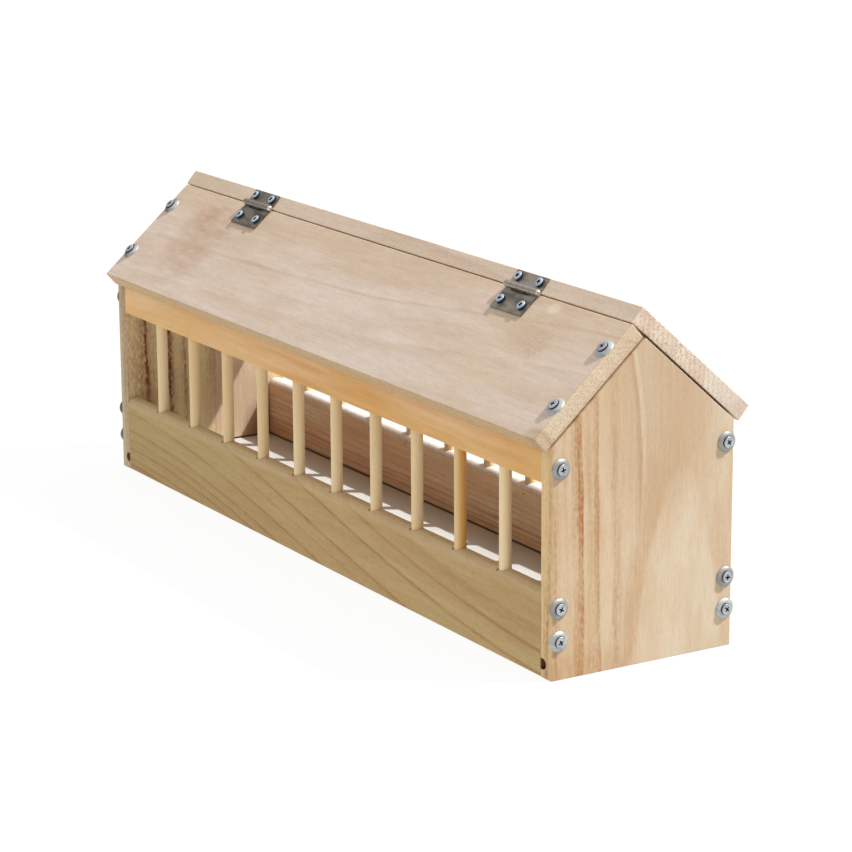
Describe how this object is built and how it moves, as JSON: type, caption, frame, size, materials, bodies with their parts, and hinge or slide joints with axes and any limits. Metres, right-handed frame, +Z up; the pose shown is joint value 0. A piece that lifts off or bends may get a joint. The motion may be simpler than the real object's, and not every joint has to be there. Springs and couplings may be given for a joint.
{
  "type": "trough pigeon feeder",
  "caption": "Long wooden bird feeder: a trough between two gables, rows of dowels front and back, and a pitched roof whose rear half is a hinged filling lid.",
  "frame": {"origin": "on the ground, under the middle of the feeder's outline", "axes": "+X along the trough, -Y towards the fixed front roof panel, +Y towards the lid, +Z up"},
  "size_m": [0.6064, 0.1604, 0.2253],
  "materials": {
    "gable_wood": "planed, untreated",
    "board_wood": "planed, untreated",
    "rail_wood": "planed, untreated",
    "dowel_wood": "turned, untreated",
    "roof_wood": "planed, untreated",
    "lid_wood": "planed, untreated",
    "white_faced_sheet": "white face, satin",
    "washer_zinc": "zinc plated",
    "screw_zinc": "zinc plated",
    "hinge_screw_zinc": "zinc plated",
    "hinge_steel": "rolled steel",
    "pin_steel": "drawn steel",
    "brad_steel": "drawn steel"
  },
  "bodies": {
    "housing": {"left_gable": "gable_wood", "right_gable": "gable_wood", "front_board": "board_wood", "rear_board": "board_wood", "front_rail": "rail_wood", "rear_rail": "rail_wood", "floor_panel": "white_faced_sheet", "front_dowel_01": "dowel_wood", "front_dowel_02": "dowel_wood", "front_dowel_03": "dowel_wood", "front_dowel_04": "dowel_wood", "front_dowel_05": "dowel_wood", "front_dowel_06": "dowel_wood", "front_dowel_07": "dowel_wood", "front_dowel_08": "dowel_wood", "front_dowel_09": "dowel_wood", "front_dowel_10": "dowel_wood", "rear_dowel_01": "dowel_wood", "rear_dowel_02": "dowel_wood", "rear_dowel_03": "dowel_wood", "rear_dowel_04": "dowel_wood", "rear_dowel_05": "dowel_wood", "rear_dowel_06": "dowel_wood", "rear_dowel_07": "dowel_wood", "rear_dowel_08": "dowel_wood", "rear_dowel_09": "dowel_wood", "rear_dowel_10": "dowel_wood", "front_brads": "brad_steel", "rear_brads": "brad_steel", "front_roof_panel": "roof_wood", "left_hinge_roof_leaf": "hinge_steel", "right_hinge_roof_leaf": "hinge_steel", "left_hinge_pin": "pin_steel", "right_hinge_pin": "pin_steel", "left_hinge_roof_screws": "hinge_screw_zinc", "right_hinge_roof_screws": "hinge_screw_zinc", "left_gable_screws": "screw_zinc", "right_gable_screws": "screw_zinc", "left_gable_cup_washers": "washer_zinc", "right_gable_cup_washers": "washer_zinc", "roof_screws": "screw_zinc", "roof_cup_washers": "washer_zinc"},
    "lid": {"lid_panel": "lid_wood", "left_hinge_lid_leaf": "hinge_steel", "right_hinge_lid_leaf": "hinge_steel", "left_hinge_lid_screws": "hinge_screw_zinc", "right_hinge_lid_screws": "hinge_screw_zinc"}
  },
  "joints": [
    {"name": "lid_hinge", "type": "hinge", "parent": "housing", "child": "lid", "pos_m": [0, -0.01149, 0.21718], "axis": [1, 0, 0], "range_deg": [0, 160]}
  ]
}
